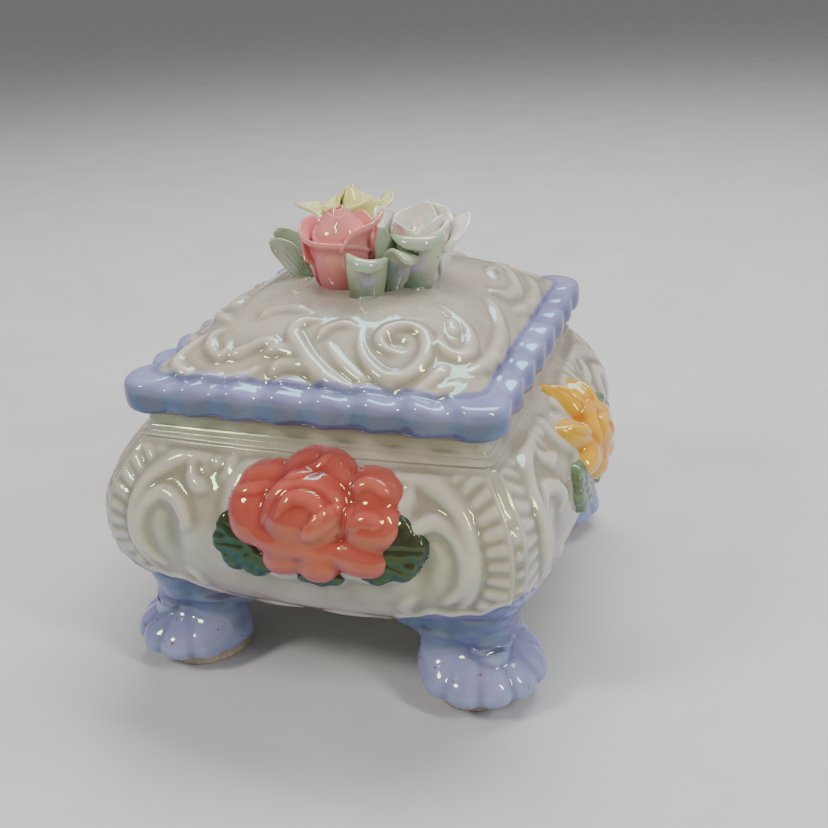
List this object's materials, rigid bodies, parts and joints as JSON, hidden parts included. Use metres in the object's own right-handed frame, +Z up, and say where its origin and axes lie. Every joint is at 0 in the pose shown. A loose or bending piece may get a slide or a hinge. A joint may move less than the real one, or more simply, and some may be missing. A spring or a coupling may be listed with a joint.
{
  "type": "trinket box",
  "caption": "Small porcelain box with swelling sides, paw feet and a lift-off domed lid topped with modelled roses; holds rings and trinkets.",
  "frame": {"origin": "on the table under the middle of the box", "axes": "+Z up, -Y towards the front face with the coral rose, +X towards the right face"},
  "size_m": [0.0996, 0.1056, 0.0876],
  "materials": {
    "cream_glaze": "gloss, pearl lustre",
    "lilac_glaze": "gloss, pearl lustre",
    "coral_glaze": "gloss",
    "amber_glaze": "gloss",
    "dark_green_glaze": "gloss",
    "sage_glaze": "gloss",
    "pink_glaze": "gloss",
    "pale_yellow_glaze": "gloss",
    "white_glaze": "gloss",
    "pale_green_glaze": "gloss, pearl lustre",
    "beige_felt": "matt felt"
  },
  "bodies": {
    "box": {"body_shell": "cream_glaze", "leg_front_left": "lilac_glaze", "leg_front_right": "lilac_glaze", "leg_back_left": "lilac_glaze", "leg_back_right": "lilac_glaze", "felt_pad_front_left": "beige_felt", "felt_pad_front_right": "beige_felt", "felt_pad_back_left": "beige_felt", "felt_pad_back_right": "beige_felt", "front_relief_rose": "coral_glaze", "front_relief_leaves": "dark_green_glaze", "right_relief_rose": "amber_glaze", "right_relief_leaves": "sage_glaze", "back_relief_rose": "coral_glaze", "back_relief_leaves": "dark_green_glaze", "left_relief_rose": "amber_glaze", "left_relief_leaves": "sage_glaze"},
    "lid": {"lid_shell": "cream_glaze", "pink_rose_heart": "pink_glaze", "pink_rose_inner_petals": "pink_glaze", "pink_rose_outer_petals": "pink_glaze", "yellow_rose_heart": "pale_yellow_glaze", "yellow_rose_inner_petals": "pale_yellow_glaze", "yellow_rose_outer_petals": "pale_yellow_glaze", "white_rose_heart": "white_glaze", "white_rose_inner_petals": "white_glaze", "white_rose_outer_petals": "white_glaze", "leaf_left_upper": "pale_green_glaze", "leaf_left_lower": "pale_green_glaze", "leaf_front": "pale_green_glaze", "leaf_front_right": "pale_green_glaze", "leaf_right": "pale_green_glaze", "leaf_back_right": "pale_green_glaze", "leaf_back_left": "pale_green_glaze"}
  },
  "joints": [
    {"name": "lid_lift", "type": "slide", "parent": "box", "child": "lid", "axis": [0, 0, 1], "range_m": [0, 0.06]}
  ]
}
